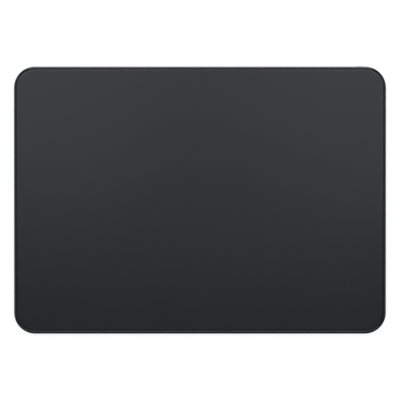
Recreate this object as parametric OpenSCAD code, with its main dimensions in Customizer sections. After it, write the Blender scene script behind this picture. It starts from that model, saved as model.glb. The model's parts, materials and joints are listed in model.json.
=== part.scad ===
// Wedge-shaped desktop trackpad: a glass surface on four force-sensing leaf
// springs, shaken sideways by a pair of magnets, in a machined aluminium frame.
// Millimetres. +X is to the right, +Y to the back and +Z up. The origin is on
// the desk, under the middle of the frame.

/* [Overall] */
// Width of the frame and the glass, left to right
body_w = 160; // [152:1:176]
// Depth of the frame and the glass in plan, front to back
body_d = 114.9; // [110:0.1:126]
// Height of the touch surface above the desk at the front edge
front_h = 4.9; // [4.8:0.1:6]
// Height of the touch surface above the desk at the back edge
back_h = 10.9; // [10.4:0.1:13]
// Radius of the four corners in plan
corner_r = 9.1; // [8:0.1:10.5]

/* [Touch surface] */
// Thickness of the cover glass
glass_t = 1.0; // [0.8:0.05:1.2]
// Radius of the rounded upper edge of the glass
glass_edge_r = 0.7; // [0.3:0.05:0.75]
// Thickness of the film that bonds the glass to the touch board
bond_t = 0.1; // [0.05:0.05:0.2]
// Thickness of the touch board
touch_board_t = 0.6; // [0.4:0.1:0.8]
// Inset of the touch board from the edge of the glass
touch_board_inset = 3.0; // [2.5:0.1:5]
// Thickness of the carrier plate
carrier_t = 0.6; // [0.5:0.1:0.8]
// Inset of the carrier plate from the edge of the glass
carrier_inset = 4.0; // [3:0.1:6]
// Width of the lightening windows in the carrier plate
window_w = 26; // [18:1:28]
// Depth of the lightening windows in the carrier plate
window_d = 17; // [12:1:18]
// Distance between the middles of neighbouring windows
window_pitch = 36; // [34:1:38]
// Corner radius of the lightening windows
window_r = 3; // [1:0.5:5]
// Least rib between a lightening window and the cable's window
window_rib = 3; // [2:0.5:5]

/* [Motion] */
// How far the glass sinks under a firm press
press_travel = 0.25; // [0.1:0.05:0.3]
// How far the glass is shaken to each side
haptic_travel = 0.1; // [0.05:0.05:0.15]
// How far the power slider moves
switch_travel = 2.0; // [1:0.1:2.4]
// Gap under the edge of the glass at rest
rim_gap = 0.4; // [0.35:0.05:0.6]
// Room left between a moving part at its limit and a fixed one
running_gap = 0.3; // [0.2:0.05:0.4]

/* [Frame] */
// Thickness of the frame's walls
wall_t = 1.8; // [1.5:0.1:2.2]
// Radius of the frame's lower outer edge
frame_edge_r = 1.4; // [0.8:0.1:2]
// Thickness of the ledge and of the corner gussets over the base plate
ledge_t = 0.6; // [0.5:0.1:0.8]
// Width of the ledge over the base plate
ledge_w = 2.0; // [1:0.1:3]
// Reach of a corner gusset past its screw, to the middle of the frame
gusset_reach = 4; // [3.5:0.1:5]
// Radius of the screw boss on a gusset
boss_r = 2.8; // [2:0.1:3]
// Corner radius of the gussets and of the seats under the leaf springs
seat_r = 1.2; // [0.5:0.1:2]

/* [Base plate and feet] */
// Thickness of the base plate
base_t = 1.0; // [0.9:0.1:1.2]
// Inset of the base plate's seam from the outside of the frame
base_inset = 3.0; // [2.6:0.1:4]
// Width of the seam round the base plate
base_seam = 0.1; // [0.05:0.05:0.2]
// Radius of a rubber foot
foot_r = 4.5; // [3:0.1:6]
// How far the feet stand out of the base plate
foot_drop = 0.5; // [0.4:0.1:0.8]
// Depth of a foot's recess in the base plate
foot_recess = 0.3; // [0.2:0.05:0.35]
// Rounding of a foot's lower edge
foot_edge_r = 0.2; // [0.1:0.05:0.3]
// Distance of a foot's middle from the frame's edges
foot_inset = 12.5; // [11:0.1:15]
// Height of the standoffs on the base plate
standoff_h = 0.6; // [0.4:0.1:0.8]
// Radius of the standoffs
standoff_r = 1.8; // [1.5:0.1:2.2]

/* [Force sensors] */
// Distance of a leaf spring's middle from the front or back edge
flexure_inset = 23.5; // [22:0.1:28]
// Thickness of a leaf spring
leaf_t = 0.4; // [0.3:0.05:0.5]
// Width of the clamped root of a leaf spring
root_w = 12; // [10:0.5:14]
// Length of the clamped root
root_len = 9; // [6:0.5:10]
// Width of the bending neck
neck_w = 6; // [4:0.5:8]
// Length of the bending neck
neck_len = 4; // [3:0.5:6]
// Width and length of the free tip
tip_w = 9; // [8.5:0.5:11]
// Corner radius of a leaf spring's root and tip
leaf_r = 0.7; // [0.3:0.1:1]
// Fillet between the neck and the wider ends
leaf_fillet = 0.7; // [0.3:0.1:1]
// Distance between a leaf spring's two screws
flexure_screw_pitch = 7; // [6:0.5:8]
// Thickness of frame between a screw's head and the leaf spring
screw_grip = 0.5; // [0.4:0.05:0.6]
// Width and length of a load button on a tip
button_w = 8; // [6:0.5:8.5]
// Thickness of a load button
button_t = 0.3; // [0.2:0.05:0.4]
// Width and length of a gel pad
gel_w = 7; // [5:0.5:7.5]
// Thickness of a gel pad
gel_t = 0.4; // [0.3:0.05:0.5]
// Thickness of a strain gauge
gauge_t = 0.12; // [0.08:0.02:0.2]

/* [Haptic motor] */
// Length of the cores along Y
core_len = 20; // [16:1:20]
// Width of a core's spine
spine_w = 3; // [2:0.5:4]
// Length of a core's poles, towards the armature
pole_len = 9; // [7:0.5:10]
// Width of a core's outer poles
outer_pole_w = 2.5; // [2:0.5:3]
// Width of a core's middle pole
middle_pole_w = 5; // [4:0.5:5.5]
// Depth of a coil's winding round its pole
coil_t = 0.5; // [0.3:0.05:0.6]
// Air gap left between the poles and the armature at the end of its travel
air_gap = 0.25; // [0.15:0.05:0.4]
// Width of the armature bar
armature_w = 4; // [3:0.5:6]
// Thickness of the bracket under the cores
bracket_t = 0.4; // [0.3:0.1:0.5]
// Gap between the motor and the battery
motor_gap = 2.5; // [2:0.1:4]
// Gap between the motor's bracket and the main board
motor_side_gap = 3.65; // [2.5:0.05:5]
// Corner radius of the cores
core_r = 0.5; // [0.2:0.1:0.8]
// Width and length of the bracket's screw tabs
bracket_tab = 5; // [4:0.5:6]

/* [Battery] */
// Width of the battery cell
battery_w = 106; // [90:1:110]
// Depth of the battery cell, front to back
battery_d = 38; // [34:0.5:38.5]
// Corner radius of the battery cell
battery_r = 2.5; // [1.5:0.5:4]
// Rounding of the cell's upper and lower edges
cell_edge_r = 1.2; // [0.6:0.1:1.4]
// Depth of the space behind the battery for the port and the switch
rear_bay = 11; // [10.5:0.1:13]
// Length of the protection board, along the front of the cell
cell_board_l = 24; // [18:1:28]
// Depth of the protection board
cell_board_w = 4; // [3:0.5:5]
// Thickness of the protection board
cell_board_t = 1.2; // [0.8:0.1:1.4]
// Thickness of the cell's sealed lip under the protection board
cell_lip_t = 0.3; // [0.2:0.05:0.4]

/* [Main board] */
// Width of the main board
board_w = 32; // [28:1:34]
// Depth of the main board
board_d = 27; // [24:1:28]
// Thickness of the main, port and switch boards
board_t = 0.8; // [0.6:0.1:1]
// Inset of the main board from the left edge of the frame
board_inset = 25; // [24.5:0.5:27]
// Gap between the main board and the protection board
board_gap = 1; // [0.5:0.1:2]
// Corner radius of the main, port and switch boards
board_r = 1; // [0.5:0.1:1.5]
// Width of the wireless shield
shield_w = 13; // [10:0.5:14]
// Depth of the wireless shield
shield_d = 15; // [12:0.5:16]
// Corner radius of the wireless shield
shield_r = 1; // [0.6:0.1:2]
// Thickness of the shield's sheet
shield_t = 0.2; // [0.15:0.05:0.3]
// Height of the board connectors
connector_h = 0.6; // [0.5:0.1:0.7]
// Thickness of the flat ribbon cables
ribbon_t = 0.12; // [0.1:0.02:0.16]

/* [Charging port] */
// Width of the receptacle's shell
port_w = 8.94; // [8.9:0.01:9]
// Height of the receptacle's shell
port_h = 3.26; // [3.2:0.01:3.4]
// Length of the receptacle's shell
port_len = 7.35; // [7:0.05:7.8]
// Wall thickness of the receptacle's shell
port_wall = 0.3; // [0.25:0.05:0.35]
// How far the receptacle's mouth is set back in the frame
port_setback = 0.4; // [0.2:0.05:0.8]
// Clearance of the frame's opening round the receptacle
port_gap = 0.12; // [0.05:0.01:0.2]
// Width of the receptacle's tongue
tongue_w = 6.69; // [6.6:0.01:6.7]
// Thickness of the receptacle's tongue
tongue_t = 0.7; // [0.6:0.05:0.8]
// Setback of the tongue's tip from the receptacle's mouth
tongue_setback = 1.0; // [0.6:0.1:1.4]
// Width of the port board
port_board_w = 20.5; // [19.5:0.5:24]
// Thickness of the strap over the receptacle
strap_t = 0.3; // [0.2:0.05:0.4]
// Width of the strap over the receptacle
strap_w = 3; // [2.8:0.1:4]

/* [Power switch] */
// Distance of the slider's middle from the right edge of the frame
switch_inset = 11.2; // [11:0.1:14]
// Length of the slider's cap
slider_w = 3.7; // [3:0.1:4]
// Height of the slider's cap
slider_h = 2.3; // [1.8:0.1:2.6]
// Clearance round the slider's cap
slider_gap = 0.1; // [0.08:0.01:0.2]
// How far the cap lies below the back of the frame
slider_setback = 0.35; // [0.2:0.05:0.5]
// Distance between the slider's two grip ridges
ridge_pitch = 1.3; // [1:0.1:1.8]
// Width of a grip ridge
ridge_w = 0.5; // [0.4:0.05:0.6]
// Height of a grip ridge
ridge_h = 1.5; // [1:0.1:1.7]
// How far the ridges stand out of the back of the frame
ridge_stand = 0.35; // [0.2:0.05:0.6]
// Width of the stem behind the cap
stem_w = 1.2; // [1:0.1:1.4]
// Height of the stem behind the cap
stem_h = 1.0; // [0.8:0.1:1.2]
// Thickness of the coloured plate behind the slot
mark_t = 0.5; // [0.4:0.05:0.6]
// Depth of the switch's case, front to back
switch_d = 3; // [2.6:0.1:3.2]
// Height of the switch's case
switch_h = 2.6; // [2:0.1:3]

/* [Antenna] */
// Length of the antenna's plastic holder
antenna_w = 22; // [16:1:26]
// Depth of the antenna's plastic holder
antenna_d = 4; // [3:0.5:4.5]
// Height of the antenna's plastic holder
antenna_h = 3.5; // [2.5:0.1:4]
// Thickness of the antenna's metal strip
antenna_t = 0.15; // [0.1:0.05:0.2]

/* [Screws] */
// Shank radius of the base plate's screws
base_screw_r = 0.7; // [0.6:0.05:0.8]
// Head radius of the base plate's screws
base_head_r = 1.4; // [1.2:0.1:1.6]
// Head height of the base plate's screws
base_head_h = 0.35; // [0.25:0.05:0.4]
// Shank radius of the small inner screws
small_screw_r = 0.55; // [0.4:0.05:0.6]
// Head radius of the small inner screws
small_head_r = 1.1; // [0.9:0.1:1.2]
// Head height of the small inner screws
small_head_h = 0.3; // [0.2:0.05:0.35]
// Clearance round a screw in its hole
screw_gap = 0.04; // [0.02:0.01:0.08]

/* [Hidden] */
$fn = 64;

// Corner names, with the side that each is on along X and Y
corners = [
  ["front_left", -1, -1],
  ["front_right", 1, -1],
  ["rear_left", -1, 1],
  ["rear_right", 1, 1],
];
sides = [["left", -1], ["right", 1]];

// The touch surface slopes down to the front
slope = atan((back_h - front_h) / body_d);
slope_d = body_d / cos(slope);
cut_h = 3 * back_h;
// How far a cut runs past the face that it opens
over_cut = 1;

// Undersides of the stacked layers, as depths square to the touch surface
bond_under = glass_t + bond_t;
touch_board_under = bond_under + touch_board_t;
carrier_under = touch_board_under + carrier_t;
gel_under = carrier_under + gel_t;
button_under = gel_under + button_t;
leaf_under = button_under + leaf_t;
rim_under = glass_t + rim_gap;

// Heights of the base plate and the ledge over it
base_top = foot_drop + base_t;
ledge_top = base_top + ledge_t;

// Inner faces of the side and back walls
inner_x = body_w / 2 - wall_t;
inner_y = body_d / 2 - wall_t;

function surface_z(y) = front_h + (y + body_d / 2) * tan(slope);
function plane_z(y, depth) = surface_z(y) - depth / cos(slope);
// Highest level that a fixed part may reach under the pressed carrier plate
function headroom(y) = plane_z(y, carrier_under + press_travel + running_gap);

// Feet and the screws above them
foot_x = body_w / 2 - foot_inset;
foot_y = body_d / 2 - foot_inset;
foot_top = foot_drop + foot_recess;
boss_top = headroom(-foot_y - boss_r);

// Leaf springs, from the wall inwards
leaf_gap = 0.6;
leaf_outer_x = inner_x - leaf_gap;
leaf_y = body_d / 2 - flexure_inset;
tip_mid = root_len + neck_len + tip_w / 2;
root_step = (root_w - neck_w) / 2;
tip_step = (tip_w - neck_w) / 2;
gauge_inset = 0.8;

// Battery, main board and motor, from the back wall forwards
battery_back = body_d / 2 - rear_bay;
battery_front = battery_back - battery_d;
battery_top = headroom(battery_front);
battery_t = battery_top - base_top;
cell_edge = min(cell_edge_r, 0.4 * battery_t);
board_left = board_inset - body_w / 2;
board_right = board_left + board_w;
board_x = (board_left + board_right) / 2;
board_back = battery_front - cell_board_w - board_gap;
board_front = board_back - board_d;
cell_board_left = board_x - cell_board_l / 2;
cell_board_front = battery_front - cell_board_w;
cell_board_bottom = base_top + cell_lip_t;
cell_board_top = cell_board_bottom + cell_board_t;
board_y = board_back - board_d / 2;
board_bottom = base_top + standoff_h;
board_top = board_bottom + board_t;
standoff_inset = 3;
motor_back = battery_front - motor_gap;
motor_front = motor_back - core_len;
motor_y = motor_back - core_len / 2;

// Levels in the motor, from the bracket to the headroom
pan_top = base_top + bracket_t;
core_bottom = pan_top;
core_top = headroom(motor_front);
coil_gap = 0.05;
pole_bottom = core_bottom + coil_t + 2 * coil_gap;
pole_top = core_top - coil_t - 2 * coil_gap;
armature_bottom = pan_top + press_travel + running_gap;
pole_tip_x = armature_w / 2 + haptic_travel + air_gap;
spine_x = pole_tip_x + pole_len;
bracket_x = spine_x + spine_w;
core_back_x = bracket_x - bracket_t;
motor_x = board_right + motor_side_gap + bracket_tab + bracket_x;
coil_front_gap = 0.8;
coil_back_gap = 0.2;
pole_mid_z = (pole_bottom + pole_top) / 2;
pole_h = pole_top - pole_bottom;

// Port and switch, half way up the back wall
back_rim_z = plane_z(body_d / 2, rim_under);
port_z = (foot_drop + back_rim_z) / 2;
port_mouth_y = body_d / 2 - port_setback;
port_end_y = port_mouth_y - port_len;
port_board_top = port_z - port_h / 2;
port_board_bottom = port_board_top - board_t;
port_board_lip = 0.7;
port_board_front = port_end_y - port_board_lip;
wall_clear = 0.3;
port_board_back = inner_y - wall_clear;
port_screw_edge = 1.95;
port_screw_x = port_board_w / 2 - port_screw_edge;
port_screw_bite = 0.8;
port_screw_len = strap_t + board_t + port_screw_bite;
port_tab_w = 3.6;
strap_inset = 0.8;
strap_y = port_end_y + strap_inset;
strap_gap = 0.05;
strap_x = port_w / 2 + strap_gap;
tongue_root_t = 1.4;
tongue_root_len = 1.6;

slider_x = body_w / 2 - switch_inset;
slot_x = slider_x - switch_travel / 2;
slot_w = slider_w + switch_travel + 2 * slider_gap;
slot_h = slider_h + 2 * slider_gap;
cap_back_gap = 0.25;
cap_front_y = inner_y + cap_back_gap;
cap_back_y = body_d / 2 - slider_setback;
ridge_tip_y = body_d / 2 + ridge_stand - ridge_w / 2;
mark_front_y = inner_y - mark_t;
mark_side_lap = 0.15;
mark_top_lap = 0.7;
mark_w = slot_w + 2 * mark_side_lap;
mark_h = slot_h + 2 * mark_top_lap;
case_gap = 0.1;
case_back_y = mark_front_y - case_gap;
case_front_y = case_back_y - switch_d;
case_side = 0.55;
case_w = slot_w + 2 * case_side;
stem_gap = 0.15;
stem_reach = 1;
stem_end_gap = 0.2;
stem_end_y = case_back_y - stem_reach;
switch_board_front = case_front_y - board_t;
switch_board_h = 4.4;
switch_screw_bite = 1.8;
switch_screw_len = board_t + switch_screw_bite;
switch_post_w = 2.6;
switch_post_edge = 1.6;
switch_post_gap = 0.4;
switch_post_x = case_w / 2 + switch_post_gap + switch_post_w / 2;
switch_board_lip = 0.3;

// The wireless shield, at the left of the main board
shield_inset = 1;
shield_edge_r = 0.4;
shield_x = board_left + shield_inset + shield_w / 2;
shield_h = headroom(board_y - shield_d / 2) - board_top;
vent_pitch = 3;
vent_r = 0.45;

// The cable between the touch board and the main board, which folds back on itself
touch_link_inset = 8.5;
touch_link_forward = 2;
touch_link_x = board_right - touch_link_inset;
touch_link_y = board_y - touch_link_forward;
touch_link_w = 11;
touch_link_d = 3.2;
touch_plug_h = 0.8;
touch_plug_under = touch_board_under + touch_plug_h;
link_edge = 0.5;
link_reach = 2;
link_len = touch_link_d + link_reach;
link_low = board_top + connector_h;
link_fold_y = touch_link_y - touch_link_d / 2 - link_reach;
link_rise = plane_z(link_fold_y, touch_plug_under) - link_low;
link_r = link_rise * cos(slope) / (1 + cos(slope));

// Windows in the carrier plate
link_window_r = 1;
link_window_w = touch_link_w + 3 * link_window_r;
link_window_d = touch_link_d + 2 * link_reach;
link_window_front = touch_link_y - link_window_d / 2;
rear_row_inset = 6;
window_cols = [-window_pitch, 0, window_pitch];
window_rows = [
  leaf_y - rear_row_inset,
  min(-leaf_y, link_window_front - window_rib - window_d / 2),
];

// Flat cables on the base plate
ribbon_w = 2;
ribbon_top = base_top + ribbon_t;
ribbon_gap = 0.4;
ribbon_lane = ribbon_gap + ribbon_w / 2;
ribbon_landing = 3;
plug_d = 1.6;
lug_face_x = leaf_outer_x - root_len;
gauge_ribbon_x = lug_face_x - ribbon_w / 2;
standoff_left = board_left + standoff_inset - standoff_r;
port_ribbon_x = min(-battery_w / 2, cell_board_left, standoff_left) - ribbon_lane;
port_ribbon_y = (battery_back + port_board_front) / 2;
port_landing_y = board_back - standoff_inset - standoff_r - ribbon_lane;
port_plug_x = 2.5;
port_plug_y = port_board_front + plug_d / 2;
cross_ribbon_y = min(motor_front, board_front) - ribbon_lane;
switch_plug_gap = 0.2;
switch_plug_x = min(
  slot_x - case_w / 2 - 2 * switch_post_edge + ribbon_w / 2,
  foot_x - gusset_reach - ribbon_w / 2 - switch_plug_gap
);
switch_board_left = switch_plug_x - ribbon_w / 2;
switch_board_right = slot_x + switch_post_x + switch_post_w / 2 + switch_board_lip;
switch_board_w = switch_board_right - switch_board_left;

// Sockets on the main board for the battery and the motor, and their leads
socket_d = 2.4;
socket_edge = 0.3;
battery_socket_w = 5;
battery_lead_w = 3.4;
battery_lead_pad = 2;
motor_socket_w = 6;
motor_lead_w = 4;
motor_lead_foot = 3;

// Antenna, behind the rounded corner
antenna_x = corner_r - body_w / 2;
antenna_back = inner_y - wall_clear;
antenna_front = antenna_back - antenna_d;
antenna_top = ledge_top + antenna_h;
antenna_r = 0.8;
antenna_edge = 1;
antenna_leg = 3;

// Chips: place of the middle from the right edge and the middle of the main board, or
// from the window's middle on the touch board, then width, depth and height of each
main_chips = [[-9, 5, 8, 8, 0.9], [-15, -9.8, 4, 3.5, 0.7], [-9.5, -9.8, 5, 3.5, 0.7]];
touch_chip_list = [[-6.5, 0, 7, 7, 0.8], [4.5, 0, 5, 5, 0.7]];

// Shared shapes

// A box between two opposite corners
module block(from, to) translate(from) cube(to - from);

// A rectangle about the origin with round corners
module rounded_plan(w, d, r) {
  square([w - 2 * r, d], center = true);
  square([w, d - 2 * r], center = true);
  for (sx = [-1, 1], sy = [-1, 1])
    translate([sx * (w / 2 - r), sy * (d / 2 - r)]) circle(r = r);
}

// The frame's outline, moved inwards, between two levels
module inset_plate(inset, from, to) translate([0, 0, from]) linear_extrude(to - from)
  rounded_plan(body_w - 2 * inset, body_d - 2 * inset, corner_r - inset);

// A long shape with round ends
module stadium(w, h) {
  square([w - h, h], center = true);
  for (s = [-1, 1]) translate([s * (w - h) / 2, 0]) circle(d = h);
}

// A section that is extruded backwards, from one Y to another
module along_y(from, to) translate([0, from, 0]) rotate([90, 0, 0]) mirror([0, 0, 1])
  linear_extrude(to - from) children();

// Half the section of a slab whose upper edge is rounded, from the axis out
module slab_edge(reach, t, edge_r) {
  square([reach, t - edge_r]);
  square([reach - edge_r, t]);
  translate([reach - edge_r, t - edge_r]) intersection() {
    circle(r = edge_r);
    square(edge_r);
  }
}

module slab_section(reach, t, edge_r) for (s = [0, 1])
  mirror([s, 0]) slab_edge(reach, t, edge_r);

// A slab with round corners in plan and a rounded upper edge
module rounded_slab(w, d, t, r, edge_r) {
  rotate([90, 0, 90]) translate([0, 0, r - w / 2])
    linear_extrude(w - 2 * r) slab_section(d / 2, t, edge_r);
  rotate([90, 0, 0]) translate([0, 0, r - d / 2])
    linear_extrude(d - 2 * r) slab_section(w / 2, t, edge_r);
  for (c = [[1, 1, 0], [-1, 1, 90], [-1, -1, 180], [1, -1, 270]])
    translate([c[0] * (w / 2 - r), c[1] * (d / 2 - r), 0]) rotate([0, 0, c[2]])
      rotate_extrude(angle = 90) slab_edge(r, t, edge_r);
}

// A soft-edged cell about the origin, rounded above and below
module pouch(w, d, t, r, edge_r) for (s = [0, 1]) mirror([0, 0, s])
  rounded_slab(w, d, t / 2, r, edge_r);

module flat_board(w, d) linear_extrude(board_t) rounded_plan(w, d, board_r);

// The frame of the touch surface: Z is 0 on the glass, square to its slope
module on_slope() translate([0, 0, (front_h + back_h) / 2]) rotate([slope, 0, 0]) children();

// A layer of the touch stack between two depths
module layer(inset, from, to) on_slope() translate([0, 0, -to]) linear_extrude(to - from)
  rounded_plan(body_w - 2 * inset, slope_d - 2 * inset, corner_r - inset);

// Everything above a depth under the touch surface
module above(depth) on_slope() translate([-body_w, -body_d, -depth])
  cube([2 * body_w, 2 * body_d, cut_h]);

// The frame of a leaf spring: X runs from the wall inwards
module at_flexure(corner) on_slope()
  translate([corner[1] * leaf_outer_x, corner[2] * leaf_y / cos(slope), 0])
    mirror([corner[1] > 0 ? 1 : 0, 0, 0]) children();

module at_flexure_screws(corner) at_flexure(corner)
  for (s = [-1, 1]) translate([root_len / 2, s * flexure_screw_pitch / 2, 0]) children();

module at_corner_screw(corner)
  translate([corner[1] * foot_x, corner[2] * foot_y, 0]) children();

module at_board_screws() for (sx = [-1, 1], sy = [-1, 1])
  translate([
    board_x + sx * (board_w / 2 - standoff_inset),
    board_y + sy * (board_d / 2 - standoff_inset),
    0,
  ]) children();

module at_motor() translate([motor_x, motor_y, 0]) children();

module at_bracket_screws() at_motor() for (sx = [-1, 1], sy = [-1, 1])
  translate([sx * (bracket_x + bracket_tab / 2), sy * (core_len - bracket_tab) / 2, 0]) children();

// A small screw, head up, whose shank runs down from under its head
module small_screw(shank) {
  cylinder(r = small_head_r, h = small_head_h);
  translate([0, 0, -shank]) cylinder(r = small_screw_r, h = shank);
}

// Flat strips that join a chain of points square to each other
module ribbon(points, w) for (i = [0 : len(points) - 2]) {
  low = [for (k = [0, 1]) min(points[i][k], points[i + 1][k]) - w / 2];
  high = [for (k = [0, 1]) max(points[i][k], points[i + 1][k]) + w / 2];
  translate(low) square(high - low);
}

// A cable that lies on the base plate
module base_ribbon(points) translate([0, 0, base_top]) linear_extrude(ribbon_t)
  ribbon(points, ribbon_w);

// The plug at a cable's end, up to the board that it is joined to
module ribbon_plug(place, top) translate([place[0], place[1], ribbon_top])
  linear_extrude(top - ribbon_top) square([ribbon_w, plug_d], center = true);

module chips(list) for (c = list) translate([c[0], c[1], 0]) linear_extrude(c[4])
  square([c[2], c[3]], center = true);

// Frame

module frame_shell() difference() {
  translate([0, 0, foot_drop + back_h]) mirror([0, 0, 1])
    rounded_slab(body_w, body_d, back_h, corner_r, frame_edge_r);
  above(rim_under);
  inset_plate(wall_t, ledge_top, cut_h);
  inset_plate(base_inset + ledge_w, 0, cut_h);
  inset_plate(base_inset, 0, base_top);
}

// A plate across a corner, which carries the boss for a base plate screw
module corner_gusset(corner) at_corner_screw(corner) mirror([corner[1] < 0 ? 1 : 0, 0, 0])
  mirror([0, corner[2] < 0 ? 1 : 0, 0]) translate([0, 0, base_top]) {
    span = gusset_reach + foot_inset + seat_r;
    linear_extrude(ledge_t) translate([span / 2 - gusset_reach, span / 2 - gusset_reach])
      rounded_plan(span, span, seat_r);
    cylinder(r = boss_r, h = boss_top - base_top);
  }

// The seat under a leaf spring's root
module flexure_lug(corner) difference() {
  span = root_len + leaf_gap + wall_t;
  translate([corner[1] * (lug_face_x + span / 2), corner[2] * leaf_y, base_top])
    linear_extrude(back_h) rounded_plan(span, root_w, seat_r);
  above(leaf_under);
}

module port_tabs() for (s = [-1, 1]) block(
  [s * port_screw_x - port_tab_w / 2, port_board_front, base_top],
  [s * port_screw_x + port_tab_w / 2, body_d / 2, port_board_bottom]
);

module switch_posts() for (s = [-1, 1]) translate([slot_x + s * switch_post_x, 0, port_z])
  block(
    [-switch_post_w / 2, case_front_y, -switch_post_w / 2],
    [switch_post_w / 2, body_d / 2, switch_post_w / 2]
  );

module at_port_screws() for (s = [-1, 1])
  translate([s * port_screw_x, strap_y + strap_w / 2, 0]) children();

// Frame of a switch screw: Z points to the front, out of its head
module at_switch_screws() for (s = [-1, 1])
  translate([slot_x + s * switch_post_x, switch_board_front, port_z]) rotate([90, 0, 0])
    children();

module frame_holes() {
  for (c = corners) {
    at_corner_screw(c) cylinder(r = base_screw_r + screw_gap, h = back_h);
    at_flexure_screws(c) translate([0, 0, -cut_h]) {
      cylinder(r = small_screw_r + screw_gap, h = cut_h);
      cylinder(r = small_head_r + screw_gap, h = cut_h - leaf_under - screw_grip);
    }
  }
  at_port_screws() translate([0, 0, port_board_top + strap_t - port_screw_len - screw_gap])
    cylinder(r = small_screw_r + screw_gap, h = port_screw_len);
  at_switch_screws() translate([0, 0, -switch_screw_len - screw_gap])
    cylinder(r = small_screw_r + screw_gap, h = switch_screw_len);
}

module wall_openings() {
  along_y(inner_y - over_cut, body_d) translate([0, port_z])
    stadium(port_w + 2 * port_gap, port_h + 2 * port_gap);
  along_y(inner_y - over_cut, body_d) translate([slot_x, port_z]) stadium(slot_w, slot_h);
}

module housing() color("#2c2d2f") difference() {
  union() {
    frame_shell();
    intersection() {
      inset_plate(wall_t / 2, base_top, cut_h);
      union() {
        for (c = corners) {
          corner_gusset(c);
          flexure_lug(c);
        }
        port_tabs();
        switch_posts();
      }
    }
  }
  frame_holes();
  wall_openings();
}

// Base plate and feet

module base_plate() color("#333437") difference() {
  union() {
    inset_plate(base_inset + base_seam, foot_drop, base_top);
    at_board_screws() translate([0, 0, base_top]) cylinder(r = standoff_r, h = standoff_h);
    at_bracket_screws() translate([0, 0, base_top]) cylinder(r = standoff_r, h = standoff_h);
  }
  for (c = corners) at_corner_screw(c) {
    cylinder(r = foot_r + base_seam, h = foot_top);
    translate([0, 0, foot_top])
      cylinder(r1 = base_head_r + screw_gap, r2 = base_screw_r + screw_gap, h = base_head_h);
    cylinder(r = base_screw_r + screw_gap, h = base_top + over_cut);
  }
  at_board_screws() translate([0, 0, base_top]) cylinder(r = small_screw_r + screw_gap, h = cut_h);
  at_bracket_screws() translate([0, 0, base_top]) cylinder(r = small_screw_r + screw_gap, h = cut_h);
}

module foot(corner) color("#1d1d1e") at_corner_screw(corner) translate([0, 0, foot_top])
  mirror([0, 0, 1]) rotate_extrude() slab_edge(foot_r, foot_top, foot_edge_r);

module base_screws() color("#8d8f92") for (c = corners) at_corner_screw(c)
  translate([0, 0, foot_top]) {
    cylinder(r1 = base_head_r, r2 = base_screw_r, h = base_head_h);
    cylinder(r = base_screw_r, h = boss_top - foot_top);
  }

// Force sensors

// A fillet in the corner at the origin, between a step's face and the neck
module leaf_corner(r) difference() {
  square(r);
  translate([r, r]) circle(r = r);
}

module leaf_plan() {
  root_fillet = min(leaf_fillet, root_step / 2);
  tip_fillet = min(leaf_fillet, tip_step / 2);
  translate([root_len / 2, 0]) rounded_plan(root_len, root_w, min(leaf_r, root_step / 2));
  translate([tip_mid, 0]) rounded_plan(tip_w, tip_w, min(leaf_r, tip_step / 2));
  translate([root_len / 2, -neck_w / 2]) square([tip_mid - root_len / 2, neck_w]);
  for (s = [0, 1]) mirror([0, s]) {
    translate([root_len, neck_w / 2]) leaf_corner(root_fillet);
    translate([root_len + neck_len, neck_w / 2]) mirror([1, 0]) leaf_corner(tip_fillet);
  }
}

module flexure(corner) color("#b9bcc0") at_flexure(corner)
  translate([0, 0, -leaf_under]) linear_extrude(leaf_t) difference() {
    leaf_plan();
    for (s = [-1, 1]) translate([root_len / 2, s * flexure_screw_pitch / 2])
      circle(r = small_screw_r + screw_gap);
  }

module flexure_screws() color("#8d8f92") for (c = corners) at_flexure_screws(c)
  translate([0, 0, -leaf_under - screw_grip]) mirror([0, 0, 1])
    small_screw(screw_grip + leaf_t);

// Under each neck, where the leaf bends
module strain_gauges() color("#c98a3c") for (c = corners) at_flexure(c)
  translate([root_len, -neck_w / 2 + gauge_inset, -leaf_under - gauge_t])
    cube([neck_len - gauge_inset, neck_w - 2 * gauge_inset, gauge_t]);

module load_button(corner) color("#a3a6aa") at_flexure(corner)
  translate([tip_mid, 0, -button_under]) linear_extrude(button_t)
    rounded_plan(button_w, button_w, leaf_r);

module gel_pad(corner) color("#cfd8dc") at_flexure(corner)
  translate([tip_mid, 0, -gel_under]) linear_extrude(gel_t)
    rounded_plan(gel_w, gel_w, 2 * leaf_r);

// Touch stack

module cover_glass() color("#3a3b3d") on_slope() translate([0, 0, -glass_t])
  rounded_slab(body_w, slope_d, glass_t, corner_r, glass_edge_r);

module bond_film() color("#101010") layer(touch_board_inset, glass_t, bond_under);

module touch_board() color("#1f5a3a") layer(touch_board_inset, bond_under, touch_board_under);

// On the underside of the touch board, in the middle rear window
module touch_chips() color("#202124") on_slope()
  translate([0, window_rows[0], -touch_board_under]) mirror([0, 0, 1]) chips(touch_chip_list);

module touch_plug() color("#d8d2c4") on_slope()
  translate([touch_link_x, touch_link_y, -touch_plug_under]) linear_extrude(touch_plug_h)
    square([touch_link_w, touch_link_d], center = true);

module carrier_plate() color("#9fa3a8") difference() {
  layer(carrier_inset, touch_board_under, carrier_under);
  on_slope() translate([0, 0, -cut_h / 2]) linear_extrude(cut_h) {
    for (x = window_cols, y = window_rows) translate([x, y])
      rounded_plan(window_w, window_d, window_r);
    translate([touch_link_x, touch_link_y]) rounded_plan(link_window_w, link_window_d, link_window_r);
  }
}

// Haptic motor

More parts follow.
